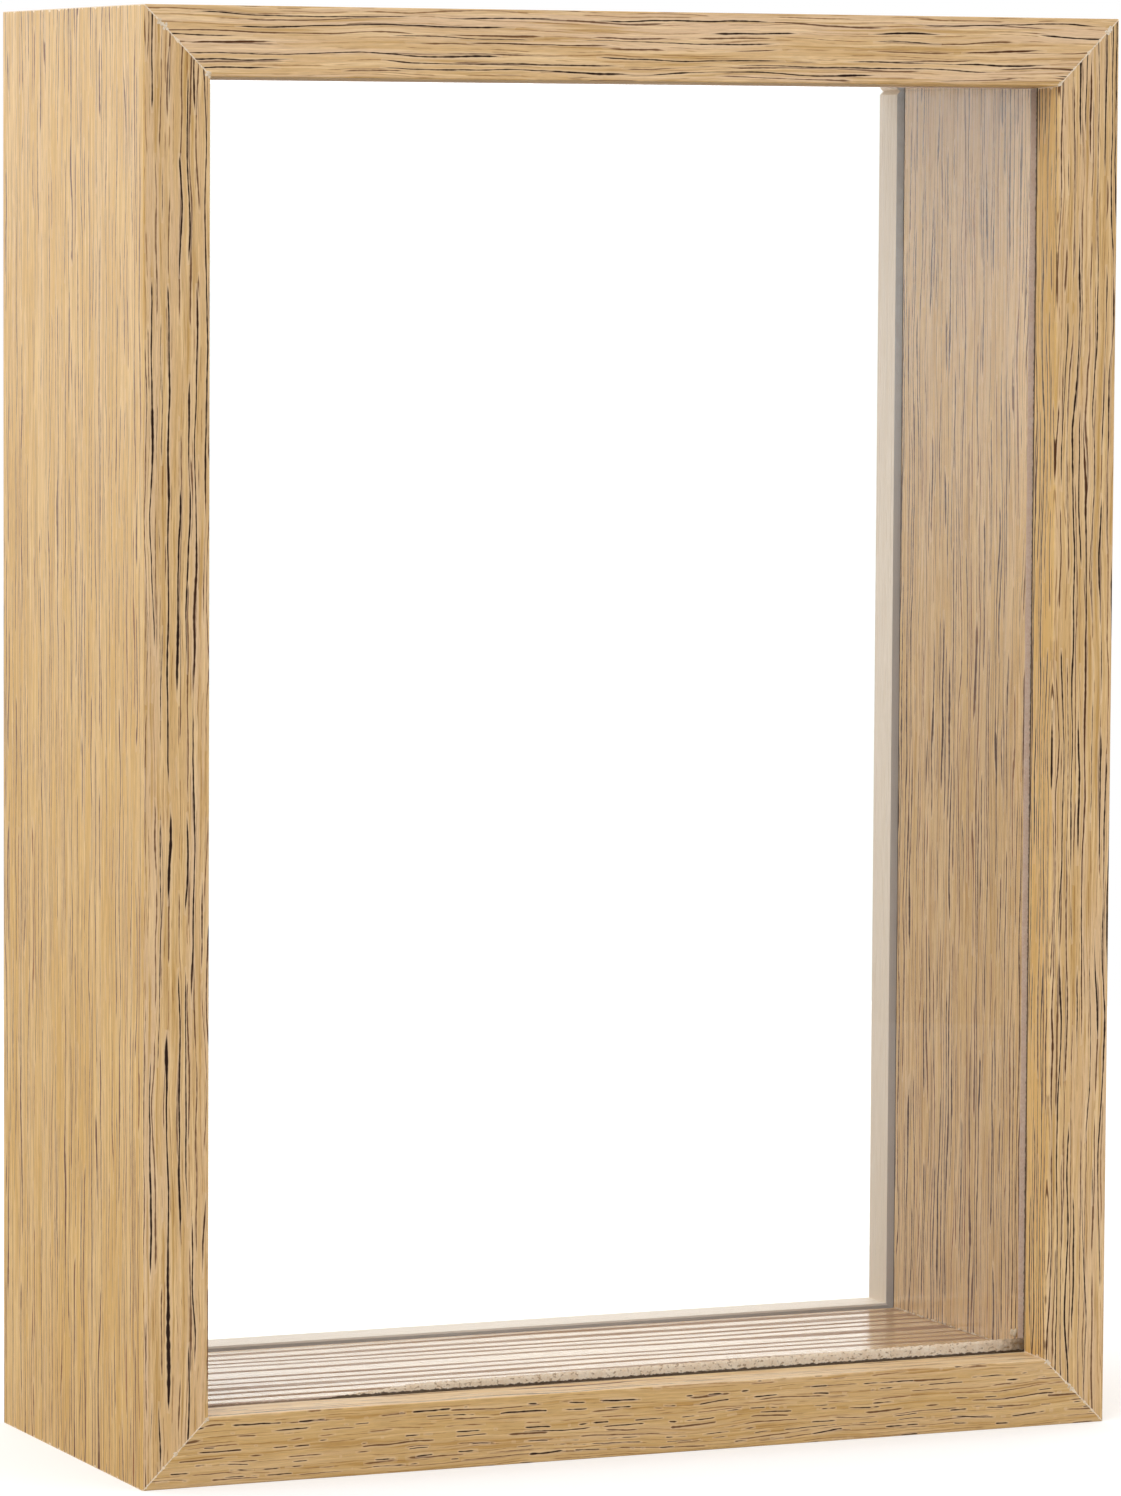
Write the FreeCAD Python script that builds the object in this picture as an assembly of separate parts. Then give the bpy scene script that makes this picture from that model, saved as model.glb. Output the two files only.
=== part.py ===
import FreeCAD, Part
import math
import os

# Free-standing see-through shadow box for a 127 x 178 mm (5 x 7 in) pane.
# X runs to the right, Y from the front to the back, Z up, in millimetres.
# The origin is the middle of the box that holds the whole part, at its base.

# Panes of glass
glass_width = 127.0
glass_height = 177.8
glass_thickness = 2.0
glass_overlap = 3.175  # how far the front lip covers the pane on each side
pane_clearance = 0.55  # between the pane's sides and the rebate

# Moulding
face_width = 9.0
lip_depth = 5.5
lip_rise = 0.25  # how far the lip's inner face closes in from front to back
outer_arris_radius = 0.25
inner_arris_radius = 0.3

# Lining and the raw strip that takes up the slack behind the front pane
liner_depth = 38.1
liner_reveal = 0.35  # how far the lining stands inside the lip's opening
packing_thickness = 0.6
packing_left_height = 3.7
packing_shoulder_height = 5.1
packing_right_height = 5.7
packing_tear_start = 19.0  # from the strip's left end, along its length
packing_tear_end = 35.5

# Removable back: a pane with a frame of strips glued to its edge
back_strip_depth = 5.5
back_strip_reveal = 0.8  # how far the strips stand inside the lip's opening
back_strip_top_reveal = 0.2  # the top strip stays behind the lining's roof
back_seat_gap = 0.3  # between the lining and the back pane
back_side_clearance = 0.2  # between the back and the rebate it slides out of
back_recess = 0.3  # how far the back sits below the rear of the moulding

# Turn buttons and their screws
button_thickness = 0.8
button_tail_radius = 2.1
button_tip_radius = 1.4
button_edge_radius = 0.2
button_setback = 0.25  # a closed button stops this far short of the opening
button_from_end = 44.0  # from the top and the bottom of the box to the pivots
button_play = 0.1  # under the button, under the screw head and round the shank
screw_radius = 0.9
screw_length = 9.0
screw_point_length = 1.6
screw_head_radius = 1.7
screw_head_height = 1.0
screw_dome_height = 0.5
screw_slot_width = 0.45
screw_slot_depth = 0.55
screw_slot_length = 2.0

# Nails across the mitres
v_nail_wing = 2.6
v_nail_thickness = 0.5
v_nail_length = 7.0
v_nail_sink = 0.2

# Sizes that follow from the ones above
sight_width = glass_width - 2 * glass_overlap
sight_height = glass_height - 2 * glass_overlap
box_width = sight_width + 2 * face_width
box_height = sight_height + 2 * face_width
web_thickness = face_width - glass_overlap - pane_clearance
pocket_height = box_height - 2 * web_thickness
liner_face = face_width + liner_reveal
floor_width = box_width - 2 * liner_face

# Places along the depth, first counted from the front of the moulding
front_glass_start = lip_depth
packing_start = front_glass_start + glass_thickness
liner_start = packing_start + packing_thickness
liner_end = liner_start + liner_depth
back_glass_start = liner_end + back_seat_gap
back_strip_start = back_glass_start + glass_thickness
back_strip_end = back_strip_start + back_strip_depth
box_depth = back_strip_end + back_recess
button_start = box_depth + button_play
screw_head_start = button_start + button_thickness + button_play
whole_depth = screw_head_start + screw_head_height
front_y = -whole_depth / 2

# Turn button plan
pivot_inset = web_thickness / 2
button_reach = face_width - pivot_inset - button_setback

X_AXIS = FreeCAD.Vector(1, 0, 0)
Y_AXIS = FreeCAD.Vector(0, 1, 0)
ORIGIN = FreeCAD.Vector(0, 0, 0)

# A bar is modelled along the bottom edge, with its outer face at Z 0,
# then turned about Y and moved onto its side of the box.
SIDES = {
    "bottom": {"turn": 0, "x": 0, "z": 0, "length": box_width},
    "top": {"turn": 180, "x": 0, "z": box_height, "length": box_width},
    "left": {"turn": 90, "x": -box_width / 2, "z": box_height / 2, "length": box_height},
    "right": {"turn": -90, "x": box_width / 2, "z": box_height / 2, "length": box_height},
}


def plan_face(points, y):
    """Face of a closed outline given as (x, z) points, standing at depth y."""
    corners = [FreeCAD.Vector(x, y, z) for x, z in points]
    return Part.Face(Part.makePolygon(corners + corners[:1]))


def plan_prism(points, start, end):
    """Solid of an (x, z) outline between two depths counted from the front."""
    face = plan_face(points, front_y + start)
    return face.extrude(Y_AXIS * (end - start))


def box_between(x_range, depth_range, z_range):
    """Box with its depth counted from the front of the moulding."""
    size_x = x_range[1] - x_range[0]
    size_y = depth_range[1] - depth_range[0]
    size_z = z_range[1] - z_range[0]
    corner = FreeCAD.Vector(x_range[0], front_y + depth_range[0], z_range[0])
    return Part.makeBox(size_x, size_y, size_z, corner)


def onto_side(shape, side):
    """Turn a bar that was built along the bottom onto the named side."""
    spot = SIDES[side]
    shape.rotate(ORIGIN, Y_AXIS, spot["turn"])
    shape.translate(FreeCAD.Vector(spot["x"], 0, spot["z"]))
    return shape


def mitred(outer, inner, length, start, end):
    """Prism with 45 degree ends between two heights above the bar's outer face."""
    half = length / 2
    outline = [
        (-half + outer, outer),
        (half - outer, outer),
        (half - inner, inner),
        (-half + inner, inner),
    ]
    return plan_prism(outline, start, end)


def arc_corner(x, corner, centre):
    """Quarter arc in a YZ plane, from and to the points beside a square corner."""
    (corner_y, corner_z), (centre_y, centre_z) = corner, centre
    first = FreeCAD.Vector(x, corner_y, centre_z)
    last = FreeCAD.Vector(x, centre_y, corner_z)
    middle_y = centre_y + (corner_y - centre_y) * math.cos(math.pi / 4)
    middle_z = centre_z + (corner_z - centre_z) * math.sin(math.pi / 4)
    middle = FreeCAD.Vector(x, middle_y, middle_z)
    return Part.Arc(first, middle, last).toShape()


def moulding_bar(length):
    """L-shaped moulding with a front lip, rounded along its three long arrises."""
    x = -length / 2
    outer = outer_arris_radius
    inner = inner_arris_radius
    front = front_y
    lip_back = front_y + lip_depth
    rear = front_y + box_depth
    lip_crest = face_width + lip_rise

    def point(y, z):
        return FreeCAD.Vector(x, y, z)

    def line(a, b):
        return Part.LineSegment(point(*a), point(*b)).toShape()

    edges = [
        line((rear - outer, 0), (front + outer, 0)),
        arc_corner(x, (front, 0), (front + outer, outer)),
        line((front, outer), (front, face_width - inner)),
        arc_corner(x, (front, face_width), (front + inner, face_width - inner)),
        line((front + inner, face_width), (lip_back, lip_crest)),
        line((lip_back, lip_crest), (lip_back, web_thickness)),
        line((lip_back, web_thickness), (rear, web_thickness)),
        line((rear, web_thickness), (rear, outer)),
        arc_corner(x, (rear, 0), (rear - outer, outer)),
    ]
    wire = Part.Wire(Part.__sortEdges__(edges))
    bar = Part.Face(wire).extrude(X_AXIS * length)
    return bar.common(mitred(0, lip_crest, length, 0, box_depth))


def v_nail(depth_end):
    """Two wings that straddle a mitre, in from the bottom left corner."""
    inset = (web_thickness - v_nail_wing) / 2
    inner = inset + v_nail_thickness
    tip = inset + v_nail_wing
    outline = [(inset, inset), (tip, inset), (tip, inner), (inner, inner), (inner, tip), (inset, tip)]
    start = box_depth - v_nail_sink - v_nail_length
    return plan_prism(outline, start, depth_end)


def at_corners(make_shape, depth_end):
    """Four copies of a corner shape, turned to face into the box."""
    corners = [
        (0, -box_width / 2, 0),
        (-90, box_width / 2, 0),
        (180, box_width / 2, box_height),
        (90, -box_width / 2, box_height),
    ]
    copies = []
    for turn, x, z in corners:
        shape = make_shape(depth_end)
        shape.rotate(ORIGIN, Y_AXIS, turn)
        shape.translate(FreeCAD.Vector(x, 0, z))
        copies.append(shape)
    return copies


def button_pivots():
    """Name, X and Z of each turn button's pivot."""
    lower = button_from_end
    upper = box_height - button_from_end
    left = -box_width / 2 + pivot_inset
    right = box_width / 2 - pivot_inset
    return [
        ("left_lower", left, lower),
        ("left_upper", left, upper),
        ("right_lower", right, lower),
        ("right_upper", right, upper),
    ]


def turn_button(x, z):
    """Pressed plate with a round tail at the pivot and an arm that hangs down."""
    y = front_y + button_start
    arm = button_reach - button_tip_radius
    slope = math.asin((button_tail_radius - button_tip_radius) / arm)

    def rim(side, angle, radius, drop):
        across = side * radius * math.cos(angle)
        return FreeCAD.Vector(x + across, y, z - drop - radius * math.sin(angle))

    tail_right = rim(1, slope, button_tail_radius, 0)
    tail_left = rim(-1, slope, button_tail_radius, 0)
    tip_right = rim(1, slope, button_tip_radius, arm)
    tip_left = rim(-1, slope, button_tip_radius, arm)
    tail_top = FreeCAD.Vector(x, y, z + button_tail_radius)
    tip_end = FreeCAD.Vector(x, y, z - button_reach)
    outline = [
        Part.Arc(tail_right, tail_top, tail_left).toShape(),
        Part.LineSegment(tail_left, tip_left).toShape(),
        Part.Arc(tip_left, tip_end, tip_right).toShape(),
        Part.LineSegment(tip_right, tail_right).toShape(),
    ]
    plate = Part.Face(Part.Wire(outline)).extrude(Y_AXIS * button_thickness)
    rear_y = y + button_thickness
    rear_edges = [edge for edge in plate.Edges if edge.BoundBox.YMin > rear_y - button_edge_radius]
    plate = plate.makeFillet(button_edge_radius, rear_edges)
    hole_foot = FreeCAD.Vector(x, y - button_play, z)
    hole_length = button_thickness + 2 * button_play
    hole = Part.makeCylinder(screw_radius + button_play, hole_length, hole_foot, Y_AXIS)
    return plate.cut(hole)


def screw_body(x, z):
    """Pan head screw without its driver slots, pointing to the front."""
    y = front_y + screw_head_start
    top_y = y + screw_head_height
    rim_y = top_y - screw_dome_height
    tip_y = y - screw_length
    dome_radius = (screw_head_radius**2 + screw_dome_height**2) / (2 * screw_dome_height)
    half_angle = math.asin(screw_head_radius / dome_radius) / 2

    def point(radius, depth):
        return FreeCAD.Vector(radius, depth, 0)

    shoulder_y = top_y - dome_radius * (1 - math.cos(half_angle))
    shoulder = point(dome_radius * math.sin(half_angle), shoulder_y)
    crown = Part.Arc(point(screw_head_radius, rim_y), shoulder, point(0, top_y))
    corners = [
        point(0, top_y),
        point(0, tip_y),
        point(screw_radius, tip_y + screw_point_length),
        point(screw_radius, y),
        point(screw_head_radius, y),
        point(screw_head_radius, rim_y),
    ]
    edges = [Part.LineSegment(a, b).toShape() for a, b in zip(corners, corners[1:])]
    profile = Part.Wire(edges + [crown.toShape()])
    screw = Part.Face(profile).revolve(ORIGIN, Y_AXIS, 360)
    screw.translate(FreeCAD.Vector(x, 0, z))
    return screw


def screw_with_slots(x, z):
    """Screw with a crossed driver recess in its head."""
    screw = screw_body(x, z)
    depths = (whole_depth - screw_slot_depth, whole_depth + screw_slot_depth)
    half_length = screw_slot_length / 2
    half_width = screw_slot_width / 2
    for across, up in ((half_length, half_width), (half_width, half_length)):
        slot = box_between((x - across, x + across), depths, (z - up, z + up))
        screw = screw.cut(slot)
    return screw


def frame_rails():
    """Four mouldings with the nails' slots and the screws' holes cut to fit."""
    names = {"bottom": "bottom_rail", "top": "top_rail", "left": "left_stile", "right": "right_stile"}
    tools = at_corners(v_nail, box_depth + v_nail_sink)
    tools += [screw_body(x, z) for name, x, z in button_pivots()]
    rails = {}
    for side, name in names.items():
        rail = onto_side(moulding_bar(SIDES[side]["length"]), side)
        for tool in tools:
            rail = rail.cut(tool)
        rails[name] = rail
    return rails


def panes():
    """Front pane standing on the bottom rebate, and the back pane clear of it."""
    width = (-glass_width / 2, glass_width / 2)
    front_depth = (front_glass_start, front_glass_start + glass_thickness)
    back_depth = (back_glass_start, back_glass_start + glass_thickness)
    front_height = (web_thickness, web_thickness + glass_height)
    back_foot = web_thickness + back_side_clearance
    back_height = (back_foot, back_foot + glass_height)
    return {
        "front_glass": box_between(width, front_depth, front_height),
        "back_glass": box_between(width, back_depth, back_height),
    }


def liner_boards():
    """Lining boards: the sides run the full height, and floor and roof lie between."""
    depths = (liner_start, liner_end)
    lengths = {"bottom": floor_width, "top": floor_width, "left": pocket_height, "right": pocket_height}
    boards = {}
    for side, length in lengths.items():
        board = box_between((-length / 2, length / 2), depths, (web_thickness, liner_face))
        boards["liner_" + side] = onto_side(board, side)
    return boards


def packing_strip():
    """Raw strip between the front pane and the lining, torn away towards the left."""
    half = glass_width / 2
    outline = [
        (-half, web_thickness),
        (half, web_thickness),
        (half, web_thickness + packing_right_height),
        (-half + packing_tear_end, web_thickness + packing_shoulder_height),
        (-half + packing_tear_start, web_thickness + packing_left_height),
        (-half, web_thickness + packing_left_height),
    ]
    return plan_prism(outline, packing_start, packing_start + packing_thickness)


def back_strips():
    """Mitred frame of four strips glued behind the back pane."""
    outer = web_thickness + back_side_clearance
    strips = {}
    for side, spot in SIDES.items():
        reveal = back_strip_top_reveal if side == "top" else back_strip_reveal
        inner = face_width + reveal
        bar = mitred(outer, inner, spot["length"], back_strip_start, back_strip_end)
        strips["back_strip_" + side] = onto_side(bar, side)
    return strips


def fasteners():
    """Turn buttons one by one, and the screws and the nails as two groups."""
    nodes = {}
    screws = []
    for name, x, z in button_pivots():
        nodes["turn_button_" + name] = turn_button(x, z)
        screws.append(screw_with_slots(x, z))
    nodes["turn_button_screws"] = Part.makeCompound(screws)
    nodes["corner_v_nails"] = Part.makeCompound(at_corners(v_nail, box_depth - v_nail_sink))
    return nodes


def build():
    """All nodes by name."""
    nodes = {}
    nodes.update(frame_rails())
    nodes.update(panes())
    nodes.update(liner_boards())
    nodes["packing_strip"] = packing_strip()
    nodes.update(back_strips())
    nodes.update(fasteners())
    return nodes


os.makedirs("parts", exist_ok=True)
for node_name, node_shape in build().items():
    node_shape.exportStep("parts/" + node_name + ".step")
    print(node_name, len(node_shape.Solids), round(node_shape.Volume, 2), node_shape.isValid())
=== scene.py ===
import math
import random

import bmesh
import bpy
from mathutils import Matrix, Vector


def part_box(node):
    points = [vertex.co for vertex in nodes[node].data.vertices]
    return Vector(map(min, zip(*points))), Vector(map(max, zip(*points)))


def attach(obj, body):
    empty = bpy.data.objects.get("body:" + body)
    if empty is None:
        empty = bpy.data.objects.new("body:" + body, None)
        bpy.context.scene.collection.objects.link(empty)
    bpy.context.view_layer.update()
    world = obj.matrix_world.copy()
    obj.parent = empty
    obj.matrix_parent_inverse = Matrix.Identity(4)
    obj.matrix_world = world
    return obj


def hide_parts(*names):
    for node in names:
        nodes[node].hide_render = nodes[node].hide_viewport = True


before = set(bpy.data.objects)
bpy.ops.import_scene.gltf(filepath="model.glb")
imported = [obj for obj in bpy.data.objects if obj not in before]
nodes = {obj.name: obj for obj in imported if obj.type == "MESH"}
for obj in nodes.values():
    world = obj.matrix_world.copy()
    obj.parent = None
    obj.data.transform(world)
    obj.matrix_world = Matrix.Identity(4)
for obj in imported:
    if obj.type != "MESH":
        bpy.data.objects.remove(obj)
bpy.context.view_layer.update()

MM = 0.001
SEED = 14

# Places read from the frame, in metres
LEFT_LOW, LEFT_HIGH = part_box("left_stile")
WALL_LOW, WALL_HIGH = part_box("liner_right")
PACKING_LOW, PACKING_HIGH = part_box("packing_strip")
BOX_LEFT, BOX_FRONT, BOX_FOOT = LEFT_LOW
BOX_RIGHT = -BOX_LEFT
BOX_TOP = LEFT_HIGH.z
DISPLAY_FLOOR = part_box("liner_bottom")[1].z
LIP_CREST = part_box("bottom_rail")[1].z
FACE_WIDTH = 9.0 * MM  # of the moulding at its front

# Distances inward from the outer face, in millimetres
LIP_STARTS, LIP_FULL = 8.6, 8.95
LIP_DEPTH = 6.0
# Where the painted shadow line on the back strips' cut face starts
STRIP_SHADOW_REACH = (PACKING_LOW.z - BOX_FOOT + WALL_HIGH.x - WALL_LOW.x) / MM - 0.6
# Where the painted shade band at the foot of the bottom back strip's cut face ends
STRIP_FADE = (DISPLAY_FLOOR - BOX_FOOT) / MM + 0.1

# Height of the packing strip, in millimetres above its foot, at places counted from its left end
PACKING_PROFILE = ((0.0, 3.7), (19.0, 3.7), (35.5, 5.1), (127.0, 5.7))
PACKING_COLUMNS = 420
PACKING_INSET = 0.03 * MM
PACKING_CORNER = 1.6 * MM
PACKING_CORNER_DROP = 0.9 * MM

# How many loose fibres, crumbs of frayed print and crumbs of filler there are
TORN_FIBRES = 260
FRAY_FIBRES, FRAY_CRUMBS = 170, 60
CHIP_CRUMBS, MITRE_BEADS = 7, 46

# The photograph's camera: turns in degrees, its place from the box's lower left front corner in
# widths of the box, and its focal length in pixels of the photograph
CAMERA_YAW, CAMERA_PITCH, CAMERA_ROLL = 23.5524, 4.6184, 0.3219
CAMERA_FROM_CORNER = (-2.2466, -6.1097, 1.2157)
FOCAL_PX = 7121.8
LONG_SIDE_PX = 1496

# Lamps: place in metres and power in watts
SOFTBOX_SIZE = 1.2
SOFTBOXES = {
    "key_softbox": ((-1.2, -0.9, 1.0), 9.6),
    "fill_softbox": ((1.1, -1.3, 0.7), 5.6),
}

# Brightness of the floor to the camera, through glass and in reflections
FLOOR_RADIUS = 0.5
FLOOR_LIFT_SEEN = 0.35
FLOOR_LIFT_THROUGH = 0.6
FLOOR_MIRRORED = 0.35

# Brightness of the world for each kind of ray, and the heights in degrees between which the
# mirrored backdrop gets brighter or darker
AMBIENT_AHEAD, AMBIENT_BEHIND = 0.62, 1.05
SEEN_THROUGH = 1.2
MIRRORED_AHEAD = 0.15
BACKDROP_FOOT, BACKDROP_RISE, GLOW_RISE = 0.35, 1.5, 0.7
HORIZON = (-3.4, -2.2)
GLOW_FROM = (-1.2, 0.2)
GLOW_TO = (2.5, 6.0)

# Colours as they look on screen, 0 to 255
GOLD = (210, 167, 94)
ROSE = (218, 180, 120)
TAN = (210, 172, 118)
OCHRE = (188, 147, 84)
PINK = (216, 181, 138)
PALE = (234, 200, 148)
LINE_BROWN = (138, 94, 50)
LINE_MAUVE = (118, 80, 52)
PORE_BROWN = (92, 54, 26)
PORE_DARK = (42, 20, 8)
HALO = (232, 202, 166)
SEAM_CREAM = (242, 222, 196)
RAW_BOARD = (176, 146, 112)
RAW_DARK = (122, 94, 66)
RAW_PALE = (255, 238, 216)
RAW_SHADE = (242, 216, 186)
RAW_END_BROWN = (128, 98, 68)
RAW_SPECK = (146, 108, 66)
# Painted shadow in the gap just above the lip
GAP_SHADOW = (52, 32, 18)
FRAY_PALE = (238, 226, 208)
FRAY_DARK = (205, 182, 150)
STRIP_PALE = (253, 241, 228)
STRIP_SHADE = (244, 230, 212)
STRIP_LINE = (196, 170, 136)
STRIP_SIDE_LOW_SHADE = (186, 166, 140)
STRIP_GREY = (248, 252, 255)
STRIP_GREY_SHADE = (236, 238, 240)
STRIP_GREY_LOW_SHADE = (206, 196, 188)
STRIP_GREY_FOOT_SHADE = (190, 180, 172)
STRIP_EDGE_SHADOW = (70, 52, 36)
LIP_GOLD = (240, 200, 128)
STRIPE_MATT = (176, 142, 122)
STEEL = (196, 193, 186)
STEEL_DULL = (178, 172, 160)
FLOOR_WHITE = (232, 232, 232)
WHITE = (1.0, 1.0, 1.0, 1.0)


def linear(colour):
    """Scene-linear RGBA of a colour given as it looks on screen."""
    shares = [value / 255 for value in colour]
    return tuple(s / 12.92 if s <= 0.04045 else ((s + 0.055) / 1.055) ** 2.4 for s in shares) + (1.0,)


class Wiring:
    """One node tree, with short calls for the nodes that it is wired from."""

    def __init__(self, owner):
        owner.use_nodes = True
        self.owner = owner
        self.tree = owner.node_tree
        self.tree.nodes.clear()

    def feed(self, socket, value):
        if isinstance(value, bpy.types.NodeSocket):
            self.tree.links.new(value, socket)
        else:
            socket.default_value = value

    def node(self, kind, inputs=None, **settings):
        made = self.tree.nodes.new("ShaderNode" + kind)
        for key, value in settings.items():
            setattr(made, key, value)
        for key, value in (inputs or {}).items():
            self.feed(made.inputs[key], value)
        return made

    def math(self, operation, *values, clamp=False):
        made = self.node("Math", operation=operation, use_clamp=clamp)
        for socket, value in zip(made.inputs, values):
            self.feed(socket, value)
        return made.outputs[0]

    def plus(self, a, b):
        return self.math("ADD", a, b)

    def minus(self, a, b):
        return self.math("SUBTRACT", a, b)

    def times(self, a, b):
        return self.math("MULTIPLY", a, b)

    def ramp(self, value, low, high, smooth=True):
        """0 below low, 1 above high."""
        kind = "SMOOTHSTEP" if smooth else "LINEAR"
        inputs = {"Value": value, "From Min": low, "From Max": high}
        return self.node("MapRange", inputs, interpolation_type=kind).outputs["Result"]

    def noise(self, x, y, detail=2.0, roughness=0.5):
        """Smooth noise on a plane, mostly between 0.25 and 0.75."""
        place = self.node("CombineXYZ", {"X": x, "Y": y}).outputs[0]
        inputs = {"Vector": place, "Scale": 1.0, "Detail": detail, "Roughness": roughness}
        return self.node("TexNoise", inputs, noise_dimensions="2D").outputs["Fac"]

    def grain(self, along, across, scales, shift=0.0, detail=2.0, roughness=0.5):
        """Noise drawn out along the grain, with a scale each way."""
        x = self.times(along, scales[0])
        y = self.plus(self.times(across, scales[1]), shift)
        return self.noise(x, y, detail, roughness)

    def mix(self, share, first, second, blend="MIX"):
        """Colour mix; colours are sockets or screen colours."""
        made = self.node("Mix", data_type="RGBA", blend_type=blend, clamp_factor=True)
        self.feed(made.inputs[0], share)
        for index, colour in ((6, first), (7, second)):
            self.feed(made.inputs[index], linear(colour) if isinstance(colour, tuple) else colour)
        return made.outputs[2]

    def place(self):
        """Object coordinates in millimetres, as three sockets."""
        coords = self.node("TexCoord").outputs["Object"]
        scaled = self.node("VectorMath", {0: coords, "Scale": 1 / MM}, operation="SCALE")
        return self.node("SeparateXYZ", {0: scaled.outputs[0]}).outputs

    def facing_rear(self):
        """How far the surface faces the rear, from -1 at the front faces to 1."""
        normal = self.node("TexCoord").outputs["Normal"]
        return self.node("SeparateXYZ", {0: normal}).outputs[1]

    def facing_front(self, low=0.8, high=0.95):
        """1 on the faces that look to the front."""
        return self.ramp(self.times(self.facing_rear(), -1.0), low, high)

    def finish(self, shader):
        output = self.node("OutputMaterial")
        self.tree.links.new(shader, output.inputs["Surface"])
        return self.owner


def new_material(name):
    return Wiring(bpy.data.materials.new(name))


def bump(wiring, height, distance_mm):
    """Normal for a height field between 0 and 1."""
    inputs = {"Height": height, "Distance": distance_mm * MM, "Strength": 1.0}
    return wiring.node("Bump", inputs).outputs[0]


def grain_lines(wiring, along, across, kind, seed):
    """Thin lines that follow the grain, one to each column, with tapered ends.

    kind holds their pitch, half width, run and wander in millimetres, and the
    share of the noise above which a line is there. Returns how much of the line
    covers a point, how near the point is to it, and the line's own tone.
    """
    w = wiring
    pitch = kind["pitch"]
    drift = w.grain(along, across, (0.05, 0.45), seed * 3.1, 1.0)
    shifted = w.plus(across, w.times(w.minus(drift, 0.5), kind["wander"]))
    column = w.math("FLOOR", w.math("DIVIDE", shifted, pitch))
    chance = w.node("TexWhiteNoise", {"W": w.plus(column, seed * 7.13)}, noise_dimensions="1D")
    randoms = w.node("SeparateColor", {0: chance.outputs["Color"]}).outputs
    centre = w.times(w.plus(column, w.plus(0.2, w.times(randoms[0], 0.6))), pitch)
    distance = w.math("ABSOLUTE", w.minus(shifted, centre))
    row = w.plus(w.times(column, 5.37), seed)
    presence = w.noise(w.math("DIVIDE", along, kind["run"]), row, kind["breaks"], 0.5)
    clusters = w.grain(along, across, (0.012, 0.11), seed, 1.0)
    presence = w.plus(presence, w.times(w.minus(clusters, 0.5), 0.3))
    level = w.ramp(presence, kind["present"], kind["present"] + 0.09)
    beads = w.noise(w.times(along, 0.9), w.plus(row, 4.0), 1.0)
    size = w.times(kind["width"], w.plus(w.plus(0.35, w.times(beads, 0.7)), w.times(randoms[1], 0.5)))
    reach = w.times(level, size)
    cover = w.math("DIVIDE", w.minus(reach, distance), kind["soft"], clamp=True)
    near = w.math("DIVIDE", w.minus(w.plus(reach, 0.26), distance), 0.24, clamp=True)
    tone = w.ramp(w.plus(w.times(presence, 0.6), w.times(randoms[2], 0.4)), 0.34, 0.56)
    return cover, w.times(near, w.math("GREATER_THAN", level, 0.05)), tone


SIDE_AXES = {
    "left": {"along": "Z", "across": "X", "sign": 1, "start": BOX_LEFT, "ends": (BOX_FOOT, BOX_TOP)},
    "right": {"along": "Z", "across": "X", "sign": -1, "start": BOX_RIGHT, "ends": (BOX_FOOT, BOX_TOP)},
    "bottom": {"along": "X", "across": "Z", "sign": 1, "start": BOX_FOOT, "ends": (BOX_LEFT, BOX_RIGHT)},
    "top": {"along": "X", "across": "Z", "sign": -1, "start": BOX_TOP, "ends": (BOX_LEFT, BOX_RIGHT)},
}


def grain_places(wiring, side, seed):
    """Distances in millimetres for a bar on one side of the box.

    along follows the grain, inward counts from the outer face, depth from the
    front, and wrapped runs round the arrises so that the print goes on past them.
    """
    w = wiring
    axes = SIDE_AXES[side]
    x, y, z = w.place()
    spot = {"X": x, "Z": z}
    along = spot[axes["along"]]
    from_start = w.minus(spot[axes["across"]], axes["start"] / MM)
    inward = w.times(from_start, axes["sign"])
    depth = w.minus(y, BOX_FRONT / MM)
    wrapped = w.plus(w.minus(inward, depth), seed * 131.7)
    low, high = (end / MM for end in axes["ends"])
    to_end = w.math("MINIMUM", w.minus(along, low), w.minus(high, along))
    return {
        "along": w.plus(along, seed * 57.3),
        "inward": inward,
        "depth": depth,
        "wrapped": wrapped,
        "to_end": to_end,
    }


def waver(wiring, spots, amount):
    """The wrapped distance, pushed to and fro so that the grain wanders."""
    w = wiring
    slow = w.grain(spots["along"], spots["wrapped"], (0.03, 0.09), detail=1.0)
    quick = w.grain(spots["along"], spots["wrapped"], (0.16, 0.35))
    shift = w.plus(w.times(w.minus(slow, 0.5), amount * 5.0), w.times(w.minus(quick, 0.5), amount))
    return w.plus(spots["wrapped"], shift)


def foil_ground(wiring, along, across, tones):
    """The print between its lines: base colour, rosy, ochre and pale streaks, soft fibres."""
    w = wiring
    base, rosy, ochre, pale = tones
    bands = w.grain(along, across, (0.008, 0.24))
    patches = w.grain(along, across, (0.03, 0.75), 31.0)
    ground = w.mix(w.ramp(w.plus(w.times(bands, 0.6), w.times(patches, 0.4)), 0.42, 0.60), base, rosy)
    streaks = w.grain(along, across, (0.035, 1.6), 57.0, 3.0, 0.62)
    ground = w.mix(w.times(w.ramp(streaks, 0.50, 0.68), 0.85), ground, ochre)
    threads = w.grain(along, across, (0.045, 2.3), 91.0, 2.0, 0.6)
    ground = w.mix(w.times(w.ramp(threads, 0.54, 0.66), 0.6), ground, pale)
    fibres = w.grain(along, across, (0.35, 7.5), 0.0, 3.0, 0.7)
    shade = w.plus(0.72, w.times(fibres, 0.56))
    grey = w.node("CombineColor", {0: shade, 1: shade, 2: shade}).outputs[0]
    return w.mix(1.0, ground, grey, "MULTIPLY"), fibres


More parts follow.
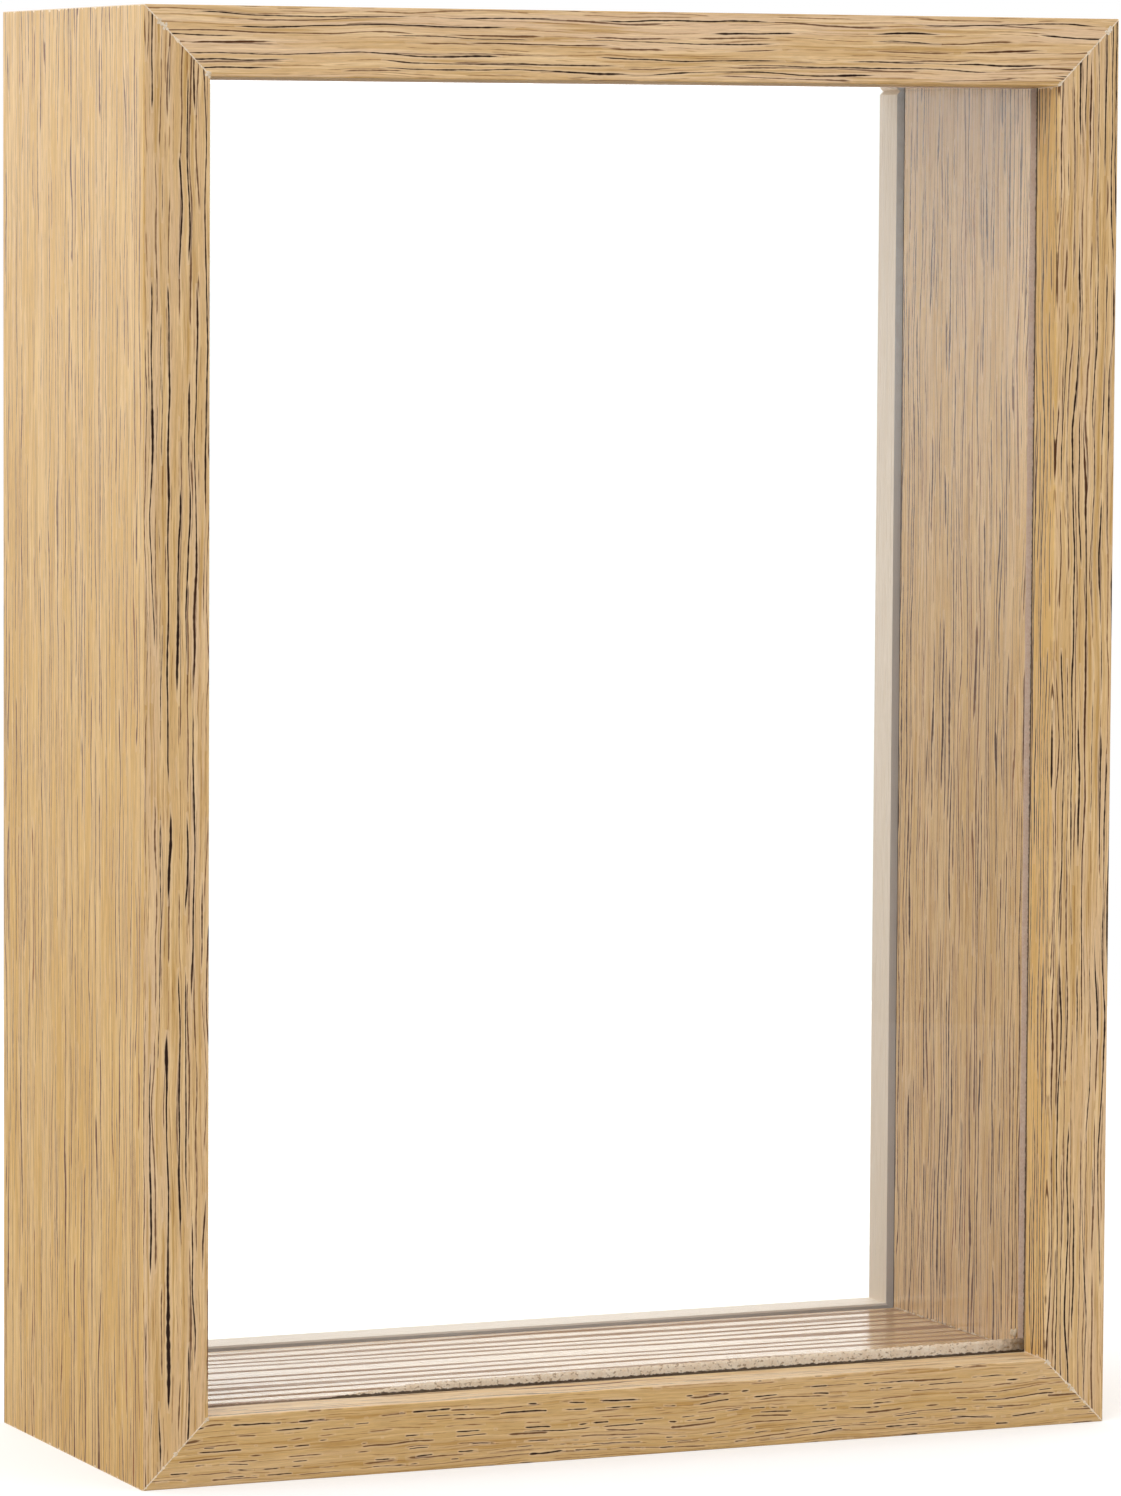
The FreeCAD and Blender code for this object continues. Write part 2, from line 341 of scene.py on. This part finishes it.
def raw_fibreboard(wiring, pale=RAW_BOARD, dark=RAW_DARK):
    """Colour of cut fibreboard: brown felt of short fibres with darker specks."""
    w = wiring
    coords = w.node("TexCoord").outputs["Object"]
    felt = w.node("TexNoise", {"Vector": coords, "Scale": 3500.0, "Detail": 3.0, "Roughness": 0.7})
    patches = w.node("TexNoise", {"Vector": coords, "Scale": 700.0, "Detail": 2.0})
    share = w.plus(w.times(felt.outputs["Fac"], 0.6), w.times(patches.outputs["Fac"], 0.4))
    return w.mix(w.ramp(share, 0.36, 0.66), dark, pale), felt.outputs["Fac"]


def print_stripes(wiring, along, across, pitch):
    """Bold lines of the display floor's print, evenly spaced but for a slow bend."""
    w = wiring
    bend = w.grain(along, across, (0.006, 0.15))
    phase = w.plus(w.math("DIVIDE", across, pitch), w.times(bend, 1.2))
    stripe = w.ramp(w.math("SINE", w.times(phase, math.tau)), 0.1, 0.7)
    fading = w.plus(0.6, w.times(w.grain(along, across, (0.02, 0.4)), 0.7))
    return w.times(stripe, fading)


def mitre_seam(wiring, spots):
    """Ragged line of filler along a mitre, wider where it crumbled."""
    w = wiring
    off_mitre = w.math("ABSOLUTE", w.minus(spots["inward"], spots["to_end"]))
    ragged = w.grain(spots["inward"], spots["depth"], (2.2, 2.2))
    crumbly = w.grain(spots["inward"], spots["depth"], (0.8, 0.8), 5.0)
    crumbs = w.times(w.ramp(crumbly, 0.56, 0.66), w.times(ragged, 0.5))
    seam_width = w.plus(w.plus(0.02, w.times(ragged, 0.24)), crumbs)
    return w.math("DIVIDE", w.minus(seam_width, off_mitre), 0.07, clamp=True)


def oak_foil(name, side, seed, style):
    """Oak-print foil on a bar of fibreboard, with bare board where the bar is cut.

    style holds the print's colours and its kinds of line, with the strength of
    each on the front face and on the other faces.
    """
    w = new_material(name)
    spots = grain_places(w, side, seed)
    along = spots["along"]
    across = waver(w, spots, style["waver"])
    front = w.facing_front(0.55, 0.8)

    front_ground, fibres = foil_ground(w, along, across, style["front_tones"])
    side_ground, _ = foil_ground(w, along, across, style["side_tones"])
    colour = w.mix(front, side_ground, front_ground)
    height = w.times(fibres, style["fibre_relief"])
    printed = front
    if style["lip_print"]:
        past_face = w.ramp(spots["inward"], LIP_STARTS, LIP_FULL)
        on_lip = w.times(past_face, w.math("LESS_THAN", spots["depth"], LIP_DEPTH))
        printed = w.math("MAXIMUM", front, on_lip)
        colour = w.mix(w.times(on_lip, 0.35), colour, LIP_GOLD)

    for number, kind in enumerate(style["lines"]):
        cover, near, tone = grain_lines(w, along, across, kind, seed + number)
        strength = w.plus(kind["side"], w.times(printed, kind["front"] - kind["side"]))
        if kind["halo"]:
            colour = w.mix(w.times(w.times(near, strength), kind["halo"]), colour, HALO)
        ink = w.mix(tone, kind["light"], kind["dark"])
        colour = w.mix(w.times(cover, strength), colour, ink)
        height = w.minus(height, w.times(cover, kind["groove"]))

    if style["stripe_pitch"]:
        stripe = print_stripes(w, along, across, style["stripe_pitch"])
        colour = w.mix(w.times(stripe, 0.55), colour, LINE_MAUVE)
        height = w.minus(height, w.times(stripe, 0.5))

    if style["seams"]:
        colour = w.mix(w.times(mitre_seam(w, spots), 0.8), colour, SEAM_CREAM)

    board, _ = raw_fibreboard(w, style["raw_pale"], style["raw_dark"])
    cut = w.ramp(w.facing_rear(), 0.8, 0.95)
    if style["edge_shadow"]:
        ragged = w.noise(w.times(along, 1.2), 7.0, 4.0, 0.7)
        gap = w.minus(w.plus(style["edge_shadow"] - 0.2, w.times(ragged, 0.4)), spots["inward"])
        board = w.mix(w.times(w.ramp(gap, 0.0, 0.08), 0.85), board, style["shadow"])
    if not style["seams"]:
        cut = w.math("MAXIMUM", cut, w.facing_front())
    colour = w.mix(cut, colour, board)
    roughness = w.plus(style["roughness"], w.times(cut, 0.9 - style["roughness"]))

    inputs = {
        "Base Color": colour,
        "Roughness": roughness,
        "Specular IOR Level": style["shine"],
        "Normal": bump(w, height, style["relief_mm"]),
    }
    shader = w.node("BsdfPrincipled", inputs).outputs[0]
    if style["stripe_pitch"]:
        matt = w.node("BsdfDiffuse", {"Color": w.mix(0.5, colour, STRIPE_MATT)}).outputs[0]
        mixed = w.node("MixShader", {0: w.times(stripe, style["stripe_matt"]), 1: shader, 2: matt})
        shader = mixed.outputs[0]
    return w.finish(shader)


FINE_LINES = {
    "pitch": 0.52, "width": 0.075, "soft": 0.07, "run": 9.0, "breaks": 2.0, "wander": 1.0, "present": 0.46,
    "front": 0.8, "side": 0.7, "halo": 0.0, "groove": 0.1,
    "light": (172, 128, 76), "dark": LINE_BROWN,
}
BROWN_LINES = {
    "pitch": 1.15, "width": 0.12, "soft": 0.06, "run": 17.0, "breaks": 1.0, "wander": 1.2, "present": 0.46,
    "front": 0.9, "side": 0.6, "halo": 0.25, "groove": 0.3,
    "light": LINE_BROWN, "dark": PORE_BROWN,
}
PORES = {
    "pitch": 1.15, "width": 0.125, "soft": 0.06, "run": 24.0, "breaks": 1.0, "wander": 1.2, "present": 0.465,
    "front": 1.0, "side": 0.0, "halo": 0.35, "groove": 0.6,
    "light": PORE_BROWN, "dark": PORE_DARK,
}
SIDE_LINES = {
    "pitch": 1.3, "width": 0.15, "soft": 0.06, "run": 20.0, "breaks": 1.0, "wander": 1.6, "present": 0.44,
    "front": 0.0, "side": 1.0, "halo": 0.25, "groove": 0.4,
    "light": (152, 98, 42), "dark": (104, 58, 20),
}
MOULDING_STYLE = {
    "front_tones": (TAN, PINK, OCHRE, PALE),
    "side_tones": (GOLD, ROSE, (197, 153, 82), (234, 199, 138)),
    "lines": (FINE_LINES, BROWN_LINES, SIDE_LINES, PORES),
    "waver": 0.24,
    "lip_print": False,
    "stripe_pitch": 0.0,
    "stripe_matt": 0.0,
    "fibre_relief": 0.5,
    "seams": True,
    "raw_pale": RAW_BOARD,
    "raw_dark": RAW_DARK,
    "edge_shadow": 0.0,
    "shadow": (60, 40, 24),
    "roughness": 0.4,
    "shine": 0.3,
    "relief_mm": 0.02,
}
STILE_STYLE = {**MOULDING_STYLE, "lip_print": True}
CLOSE_PORES = {**PORES, "pitch": 0.95, "present": 0.43}
RIGHT_STYLE = {**STILE_STYLE, "lines": (FINE_LINES, BROWN_LINES, SIDE_LINES, CLOSE_PORES)}
TOP_STYLE = {
    **MOULDING_STYLE,
    "front_tones": ((215, 178, 128), (222, 188, 150), (190, 150, 90), (240, 208, 162)),
}
SHORT_PORES = {**PORES, "width": 0.11, "run": 4.2, "breaks": 2.0, "present": 0.52}
SHORT_LINES = {**BROWN_LINES, "run": 6.0, "present": 0.48}
BOTTOM_STYLE = {
    **MOULDING_STYLE,
    "front_tones": ((204, 167, 110), (210, 175, 127), (184, 142, 78), (222, 188, 136)),
    # Off the front, the bottom rail is painted lighter than the other bars: a painted highlight on its
    # upward-facing lip.
    "side_tones": ((238, 204, 152), (246, 218, 176), (226, 186, 126), (253, 232, 196)),
    "lines": (FINE_LINES, SHORT_LINES, SIDE_LINES, SHORT_PORES),
    "waver": 0.4,
}
WALL_LINES = {
    **SIDE_LINES, "pitch": 0.95, "width": 0.175, "run": 22.0, "halo": 0.45,
    "light": (146, 100, 62), "dark": (84, 50, 28),
}
LINING_STYLE = {
    **MOULDING_STYLE,
    "side_tones": ((212, 174, 118), (217, 182, 134), (190, 147, 88), (234, 203, 156)),
    "lines": (FINE_LINES, BROWN_LINES, WALL_LINES),
    "waver": 0.22,
    "fibre_relief": 0.15,
    "seams": False,
    "raw_pale": (255, 230, 212),
    "raw_dark": (240, 208, 186),
    "edge_shadow": 8.55,
    "roughness": 0.18,
    "shine": 0.5,
    "relief_mm": 0.012,
}
FLOOR_STYLE = {
    **LINING_STYLE,
    "lines": (FINE_LINES,),
    "stripe_pitch": 3.7,
    "stripe_matt": 0.85,
    "fibre_relief": 0.05,
    "edge_shadow": 9.2,
    "shadow": (168, 138, 112),
    "shine": 0.75,
    "relief_mm": 0.07,
}
ROOF_STYLE = {**LINING_STYLE, "roughness": 0.05, "relief_mm": 0.004}


def clear_glass():
    """Float glass that lets the lamps and the soft light through to the inside."""
    w = new_material("clear_float_glass")
    glass = w.node("BsdfPrincipled", {
        "Base Color": (0.985, 0.995, 0.99, 1.0),
        "Roughness": 0.0,
        "IOR": 1.5,
        "Transmission Weight": 1.0,
    })
    open_air = w.node("BsdfTransparent")
    path = w.node("LightPath").outputs
    passing = w.math("MAXIMUM", path["Is Shadow Ray"], path["Is Diffuse Ray"])
    mixed = w.node("MixShader", {0: passing, 1: glass.outputs[0], 2: open_air.outputs[0]})
    return w.finish(mixed.outputs[0])


def pale_strip(name, side, seed):
    """Pale foil on the back strips, with a grey cut face against the pane, painted shade that darkens them
    lower down and a painted shadow line along the cut face.
    """
    w = new_material(name)
    spots = grain_places(w, side, seed)
    along = spots["along"]
    across = waver(w, spots, 0.2)
    fibres = w.grain(along, across, (0.18, 5.0), 0.0, 3.0, 0.65)
    colour = w.mix(w.ramp(fibres, 0.3, 0.7), STRIP_SHADE, STRIP_PALE)
    lines, _, _ = grain_lines(w, along, across, FINE_LINES, seed)
    colour = w.mix(w.times(lines, 0.35), colour, STRIP_LINE)
    cut = w.facing_front()
    if side == "bottom":
        # Painted shade: a grey band at the foot of the bottom strip's cut face, just above the display
        # floor.
        fade = w.ramp(spots["inward"], STRIP_FADE, STRIP_FADE + 0.12)
        board = w.mix(fade, STRIP_GREY_FOOT_SHADE, STRIP_PALE)
    else:
        top = BOX_TOP / MM
        height = w.place()[2]
        # Painted shade: the side strips' foil darkens towards the bottom.
        painted_low_shade = w.ramp(height, top * 0.8, 0.0, False)
        colour = w.mix(w.times(painted_low_shade, 0.45), colour, STRIP_SIDE_LOW_SHADE)
        board, _ = raw_fibreboard(w, STRIP_GREY, STRIP_GREY_SHADE)
        # Painted shade: the grey cut face darkens lower down.
        board = w.mix(w.ramp(height, top * 0.85, top * 0.55), board, STRIP_GREY_LOW_SHADE)
    # Painted shadow: a dark line on the cut face where it passes behind the lining's rear edge.
    painted_edge_shadow = w.ramp(w.minus(STRIP_SHADOW_REACH, spots["inward"]), 0.0, 0.1)
    board = w.mix(w.times(painted_edge_shadow, 0.85), board, STRIP_EDGE_SHADOW)
    colour = w.mix(cut, colour, board)
    inputs = {
        "Base Color": colour,
        "Roughness": w.plus(0.5, w.times(cut, 0.4)),
        "Normal": bump(w, fibres, 0.02),
    }
    return w.finish(w.node("BsdfPrincipled", inputs).outputs[0])


def raw_edge(name, pale, dark):
    """Bare fibreboard or frayed print, matt and felted."""
    w = new_material(name)
    colour, felt = raw_fibreboard(w, pale, dark)
    inputs = {"Base Color": colour, "Roughness": 0.95, "Normal": bump(w, felt, 0.06)}
    return w.finish(w.node("BsdfPrincipled", inputs).outputs[0])


def packing_board():
    """Cut fibreboard, browner at its right end, with painted shadow as a dark ragged line at its foot."""
    w = new_material("packing_board")
    x, y, z = w.place()
    board, felt = raw_fibreboard(w, RAW_PALE, RAW_SHADE)
    right_end = PACKING_HIGH.x / MM
    # The board darkens towards its right end.
    ragged_x = w.plus(x, w.times(w.noise(x, z, 3.0), 6.0))
    darker_end = w.ramp(ragged_x, right_end - 4.5, right_end - 0.5)
    colour = w.mix(w.times(darker_end, 0.8), board, RAW_END_BROWN)
    specks = w.grain(x, z, (1.3, 2.2), 0.0, 3.0, 0.7)
    colour = w.mix(w.times(w.ramp(specks, 0.57, 0.65), 0.7), colour, RAW_SPECK)
    # Painted shadow: a dark ragged line along the strip's foot, just above the lip crest.
    ragged = w.noise(w.times(x, 1.1), 3.0, 4.0, 0.7)
    foot = LIP_CREST / MM - 0.2
    painted_foot_shadow = w.ramp(w.minus(w.plus(foot, w.times(ragged, 0.75)), z), 0.0, 0.06)
    colour = w.mix(w.times(painted_foot_shadow, 0.92), colour, GAP_SHADOW)
    inputs = {"Base Color": colour, "Roughness": 0.95, "Normal": bump(w, felt, 0.05)}
    return w.finish(w.node("BsdfPrincipled", inputs).outputs[0])


def plated_steel():
    """Zinc-plated pressed steel with fine scratches and a mottled sheen."""
    w = new_material("zinc_plated_steel")
    coords = w.node("TexCoord").outputs["Object"]
    mottle = w.node("TexNoise", {"Vector": coords, "Scale": 900.0, "Detail": 3.0}).outputs["Fac"]
    stretched = w.node("VectorMath", {0: coords, 1: (9000.0, 9000.0, 600.0)}, operation="MULTIPLY")
    scratches = w.node("TexNoise", {"Vector": stretched.outputs[0], "Scale": 1.0, "Detail": 2.0})
    colour = w.mix(w.ramp(mottle, 0.35, 0.65), STEEL_DULL, STEEL)
    inputs = {
        "Base Color": colour,
        "Metallic": 1.0,
        "Roughness": w.plus(0.22, w.times(mottle, 0.25)),
        "Normal": bump(w, scratches.outputs["Fac"], 0.01),
    }
    return w.finish(w.node("BsdfPrincipled", inputs).outputs[0])


def dress(node_name, material):
    """Gives a CAD node its finish."""
    for material_slot in nodes[node_name].material_slots:
        material_slot.material = material


def dress_cad_nodes():
    rails = {
        "left": ("left_stile", STILE_STYLE, LINING_STYLE),
        "right": ("right_stile", RIGHT_STYLE, LINING_STYLE),
        "top": ("top_rail", TOP_STYLE, ROOF_STYLE),
        "bottom": ("bottom_rail", BOTTOM_STYLE, FLOOR_STYLE),
    }
    for seed, (side, (rail, style, lining_style)) in enumerate(rails.items(), start=SEED):
        dress(rail, oak_foil("oak_foil_" + rail, side, seed, style))
        lining = "liner_" + side
        dress(lining, oak_foil("oak_foil_" + lining, side, seed + 20, lining_style))
        strip = "back_strip_" + side
        dress(strip, pale_strip("pale_foil_" + strip, side, seed + 40))
    glass = clear_glass()
    dress("front_glass", glass)
    dress("back_glass", glass)
    steel = plated_steel()
    for name in nodes:
        if name.startswith("turn_button") or name == "corner_v_nails":
            dress(name, steel)


def add_piece(name, bm, material, body):
    """A finished mesh in the row frame that moves with a CAD body."""
    mesh = bpy.data.meshes.new(name)
    bm.to_mesh(mesh)
    bm.free()
    mesh.materials.append(material)
    piece = bpy.data.objects.new(name, mesh)
    bpy.context.scene.collection.objects.link(piece)
    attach(piece, body)
    return piece


def packing_top(x):
    """Height of the packing strip's top edge at x."""
    along = (x - PACKING_LOW.x) / MM
    for (start, low), (end, high) in zip(PACKING_PROFILE, PACKING_PROFILE[1:]):
        if along <= end:
            break
    share = min(1.0, max(0.0, (along - start) / (end - start)))
    return PACKING_LOW.z + (low + share * (high - low)) * MM


def packing_strip(material):
    """The raw strip behind the front pane, torn along its top edge."""
    rng = random.Random(SEED)
    bm = bmesh.new()
    front = PACKING_LOW.y + PACKING_INSET
    back = PACKING_HIGH.y - PACKING_INSET
    rings = []
    for i in range(PACKING_COLUMNS + 1):
        x = PACKING_LOW.x + (PACKING_HIGH.x - PACKING_LOW.x) * i / PACKING_COLUMNS
        end_gap = min(1.0, min(x - PACKING_LOW.x, PACKING_HIGH.x - x) / PACKING_CORNER)
        rounding = PACKING_CORNER_DROP * (1 - math.sqrt(max(0.0, 1 - (1 - end_gap) ** 2)))
        top = packing_top(x) - rounding - rng.uniform(0.0, 0.12) * MM
        wobble = rng.uniform(0.0, 0.06) * MM
        profile = [
            (front, PACKING_LOW.z),
            (front + wobble / 2, (PACKING_LOW.z + top) / 2),
            (front + wobble, top - 0.35 * MM),
            (front + 0.12 * MM + wobble, top),
            (back - 0.14 * MM, top - rng.uniform(0.0, 0.08) * MM),
            (back, top - 0.25 * MM),
            (back, PACKING_LOW.z),
        ]
        rings.append([bm.verts.new((x, y, z)) for y, z in profile])
    for before, after in zip(rings, rings[1:]):
        count = len(before)
        for k in range(count):
            n = (k + 1) % count
            bm.faces.new((before[k], before[n], after[n], after[k]))
    bm.faces.new(list(reversed(rings[0])))
    bm.faces.new(rings[-1])
    bmesh.ops.recalc_face_normals(bm, faces=bm.faces)
    strip = add_piece("packing_strip_torn", bm, material, "box")
    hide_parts("packing_strip")


def add_fibre(bm, start, heading, length, radius, rng):
    """One curled fibre: a thin tapering tube of four sides."""
    steps = 4
    heading = heading.normalized()
    spread = Vector([rng.uniform(-1, 1) for _ in range(3)]) * 0.5
    ring_before = None
    place = start.copy()
    for i in range(steps + 1):
        share = i / steps
        side = heading.orthogonal().normalized()
        other = heading.cross(side)
        size = radius * (1.0 - 0.7 * share)
        ring = [
            bm.verts.new(place + (side * math.cos(a) + other * math.sin(a)) * size)
            for a in (0, math.pi / 2, math.pi, 3 * math.pi / 2)
        ]
        if ring_before:
            for k in range(4):
                n = (k + 1) % 4
                bm.faces.new((ring_before[k], ring_before[n], ring[n], ring[k]))
        else:
            bm.faces.new(list(reversed(ring)))
        ring_before = ring
        heading = (heading + spread * 0.35).normalized()
        place += heading * length / steps
    bm.faces.new(ring_before)


def add_crumb(bm, centre, size, flat, rng):
    """One broken chip of fibreboard, squashed along Y."""
    before = len(bm.verts)
    squash = Matrix.Diagonal((1.0, flat, 1.0, 1.0))
    turn = Matrix.Rotation(rng.uniform(0, math.tau), 4, "Y")
    matrix = Matrix.Translation(centre) @ turn @ squash
    bmesh.ops.create_icosphere(bm, subdivisions=2, radius=size, matrix=matrix)
    bm.verts.ensure_lookup_table()
    for vert in bm.verts[before:]:
        vert.co += (vert.co - centre) * rng.uniform(-0.35, 0.3)


def packing_fibres(material):
    """Loose fibres along the strip's torn edge and in the gap below it."""
    rng = random.Random(SEED + 1)
    bm = bmesh.new()
    middle = (PACKING_LOW.y + PACKING_HIGH.y) / 2
    for _ in range(TORN_FIBRES):
        x = rng.uniform(PACKING_LOW.x + 2 * MM, PACKING_HIGH.x - 2 * MM)
        y = middle + rng.uniform(-0.15, 0.15) * MM
        start = Vector((x, y, packing_top(x) - rng.uniform(0.1, 0.3) * MM))
        heading = Vector((rng.uniform(-1, 1), rng.uniform(-0.1, 0.1), rng.uniform(0.1, 0.8)))
        add_fibre(bm, start, heading, rng.uniform(0.25, 0.7) * MM, 0.02 * MM, rng)
    add_piece("packing_strip_fibres", bm, material, "box")


def wall_fray(material):
    """Frayed print along the foot of the right wall, where the board was sawn."""
    rng = random.Random(SEED + 2)
    bm = bmesh.new()
    for _ in range(FRAY_FIBRES):
        y = rng.uniform(WALL_LOW.y + 0.3 * MM, WALL_HIGH.y - 0.6 * MM)
        start = Vector((WALL_LOW.x - 0.01 * MM, y, DISPLAY_FLOOR + rng.uniform(0.0, 0.12) * MM))
        heading = Vector((rng.uniform(-0.5, -0.05), rng.uniform(-1, 1), rng.uniform(-0.1, 0.35)))
        add_fibre(bm, start, heading, rng.uniform(0.2, 0.7) * MM, 0.025 * MM, rng)
    for _ in range(FRAY_CRUMBS):
        y = WALL_LOW.y + 0.3 * MM + (WALL_HIGH.y - WALL_LOW.y - 0.9 * MM) * rng.random() ** 0.5
        centre = Vector((WALL_LOW.x - 0.06 * MM, y, DISPLAY_FLOOR + 0.06 * MM))
        add_crumb(bm, centre, rng.uniform(0.07, 0.2) * MM, 1.0, rng)
    chip = Vector((WALL_LOW.x - 0.25 * MM, WALL_LOW.y + 0.5 * MM, DISPLAY_FLOOR + 2.2 * MM))
    add_crumb(bm, chip, 0.55 * MM, 0.8, rng)
    add_piece("wall_foot_fray", bm, material, "box")


# Each mitre's way outwards, and where chips broke off, as shares of the way from its inner corner
# to the outer one
MITRES = {
    "top_left": {"way": (-1, 1), "chips": (0.0, 0.04, 0.69, 0.73, 0.77)},
    "top_right": {"way": (1, 1), "chips": (0.02, 0.80, 0.84)},
    "bottom_left": {"way": (-1, -1), "chips": (0.03, 0.5)},
    "bottom_right": {"way": (1, -1), "chips": (0.0, 0.05, 0.42, 0.46)},
}


def mitre_crumbs(material):
    """Filler bead along each front mitre, with the crumbs that stand on it."""
    inner_x = BOX_RIGHT - FACE_WIDTH
    inner_z = (BOX_TOP - 2 * FACE_WIDTH) / 2
    middle_z = BOX_TOP / 2
    for seed, (name, mitre) in enumerate(MITRES.items(), start=SEED + 3):
        rng = random.Random(seed)
        bm = bmesh.new()
        way = Vector((mitre["way"][0], 0, mitre["way"][1]))
        corner = Vector((way.x * inner_x, BOX_FRONT, middle_z + way.z * inner_z))
        for share in mitre["chips"]:
            for _ in range(CHIP_CRUMBS):
                stray = Vector((rng.gauss(0, 0.16), 0, rng.gauss(0, 0.16))) * MM
                centre = corner + way * FACE_WIDTH * max(0.03, share) + stray
                centre.y = BOX_FRONT
                add_crumb(bm, centre, rng.uniform(0.09, 0.21) * MM, 0.25, rng)
        for _ in range(MITRE_BEADS):
            share = rng.uniform(0.06, 0.97)
            stray = Vector((rng.gauss(0, 0.05), 0, rng.gauss(0, 0.05))) * MM
            centre = corner + way * FACE_WIDTH * share + stray
            centre.y = BOX_FRONT
            add_crumb(bm, centre, rng.uniform(0.05, 0.11) * MM, 0.2, rng)
        add_piece("mitre_crumbs_" + name, bm, material, "box")


def add_camera():
    """The photograph's camera, found by fitting the box's straight edges."""
    yaw, pitch, roll = (math.radians(angle) for angle in (CAMERA_YAW, CAMERA_PITCH, CAMERA_ROLL))
    from_corner = Vector(CAMERA_FROM_CORNER) * (BOX_RIGHT - BOX_LEFT)
    forward = Vector((math.sin(yaw) * math.cos(pitch), math.cos(yaw) * math.cos(pitch), -math.sin(pitch)))
    level = Vector((math.cos(yaw), -math.sin(yaw), 0))
    upright = level.cross(forward)
    right = level * math.cos(roll) + upright * math.sin(roll)
    up = right.cross(forward)
    data = bpy.data.cameras.new("camera")
    data.lens = FOCAL_PX * data.sensor_width / LONG_SIDE_PX
    data.clip_start = 0.01
    camera = bpy.data.objects.new("camera", data)
    bpy.context.scene.collection.objects.link(camera)
    turn = Matrix((right, up, -forward)).transposed().to_4x4()
    camera.matrix_world = Matrix.Translation(Vector((BOX_LEFT, BOX_FRONT, BOX_FOOT)) + from_corner) @ turn
    bpy.context.scene.camera = camera


def add_softbox(name, place, target, power):
    """A square lamp with a wide soft face, which no reflection shows."""
    data = bpy.data.lights.new(name, "AREA")
    data.shape = "SQUARE"
    data.size = SOFTBOX_SIZE
    data.energy = power
    lamp = bpy.data.objects.new(name, data)
    lamp.visible_glossy = False
    lamp.visible_transmission = False
    bpy.context.scene.collection.objects.link(lamp)
    lamp.location = place
    lamp.rotation_euler = (Vector(target) - Vector(place)).to_track_quat("-Z", "Y").to_euler()


def add_lights():
    middle = (0, 0, BOX_TOP / 2)
    for name, (place, power) in SOFTBOXES.items():
        add_softbox(name, place, middle, power)


def add_floor():
    """A pale disc that keeps the shadow and is white to the camera and through the glass."""
    bm = bmesh.new()
    bmesh.ops.create_circle(bm, cap_ends=True, segments=96, radius=FLOOR_RADIUS)
    mesh = bpy.data.meshes.new("floor")
    bm.to_mesh(mesh)
    bm.free()
    floor = bpy.data.objects.new("floor", mesh)
    floor.location.z = BOX_FOOT
    bpy.context.scene.collection.objects.link(floor)
    w = new_material("pale_floor")
    straight, through, mirrored = ray_kinds(w)
    diffuse = w.node("BsdfDiffuse", {"Color": linear(FLOOR_WHITE)})
    strength = w.plus(w.times(straight, FLOOR_LIFT_SEEN), w.times(through, FLOOR_LIFT_THROUGH))
    lift = w.node("Emission", {"Color": WHITE, "Strength": strength})
    lifted = w.node("AddShader", {0: diffuse.outputs[0], 1: lift.outputs[0]})
    dim = w.node("Emission", {"Color": WHITE, "Strength": FLOOR_MIRRORED})
    shader = w.node("MixShader", {0: mirrored, 1: lifted.outputs[0], 2: dim.outputs[0]})
    mesh.materials.append(w.finish(shader.outputs[0]))


def ray_kinds(wiring):
    """1 for a ray straight from the camera, one seen through glass, and a reflection."""
    w = wiring
    path = w.node("LightPath").outputs
    glossy = w.math("GREATER_THAN", path["Glossy Depth"], 0.5)
    mirrored = w.times(glossy, w.minus(1.0, path["Is Diffuse Ray"]))
    through = w.times(path["Is Transmission Ray"], w.minus(1.0, mirrored))
    return path["Is Camera Ray"], through, mirrored


def add_world():
    """White to the camera, through the glass and behind the box, and a soft light elsewhere."""
    world = bpy.data.worlds.new("studio")
    bpy.context.scene.world = world
    w = Wiring(world)
    straight, through, mirrored = ray_kinds(w)
    direction = w.node("SeparateXYZ", {0: w.node("TexCoord").outputs["Generated"]}).outputs
    behind = w.math("GREATER_THAN", direction[1], 0.0)
    horizon, glow_from, glow_to = (
        w.ramp(direction[2], math.sin(math.radians(low)), math.sin(math.radians(high)))
        for low, high in (HORIZON, GLOW_FROM, GLOW_TO)
    )
    glow = w.minus(glow_from, glow_to)
    backdrop = w.plus(BACKDROP_FOOT, w.plus(w.times(horizon, BACKDROP_RISE), w.times(glow, GLOW_RISE)))
    reflected = w.plus(w.times(behind, backdrop), w.times(w.minus(1.0, behind), MIRRORED_AHEAD))
    seen = w.plus(straight, w.times(through, SEEN_THROUGH))
    ambient = w.plus(AMBIENT_AHEAD, w.times(behind, AMBIENT_BEHIND - AMBIENT_AHEAD))
    rest = w.minus(1.0, w.plus(straight, w.plus(through, mirrored)))
    strength = w.plus(w.plus(seen, w.times(mirrored, reflected)), w.times(rest, ambient))
    background = w.node("Background", {"Color": WHITE, "Strength": strength})
    output = w.node("OutputWorld")
    w.tree.links.new(background.outputs[0], output.inputs["Surface"])


def build_scene():
    dress_cad_nodes()
    fray = raw_edge("frayed_print", FRAY_PALE, FRAY_DARK)
    packing_strip(packing_board())
    packing_fibres(fray)
    wall_fray(fray)
    mitre_crumbs(fray)
    dress("turn_button_screws", plated_steel())
    add_camera()
    add_lights()
    add_floor()
    add_world()
    bpy.context.scene.view_settings.view_transform = "Standard"


build_scene()
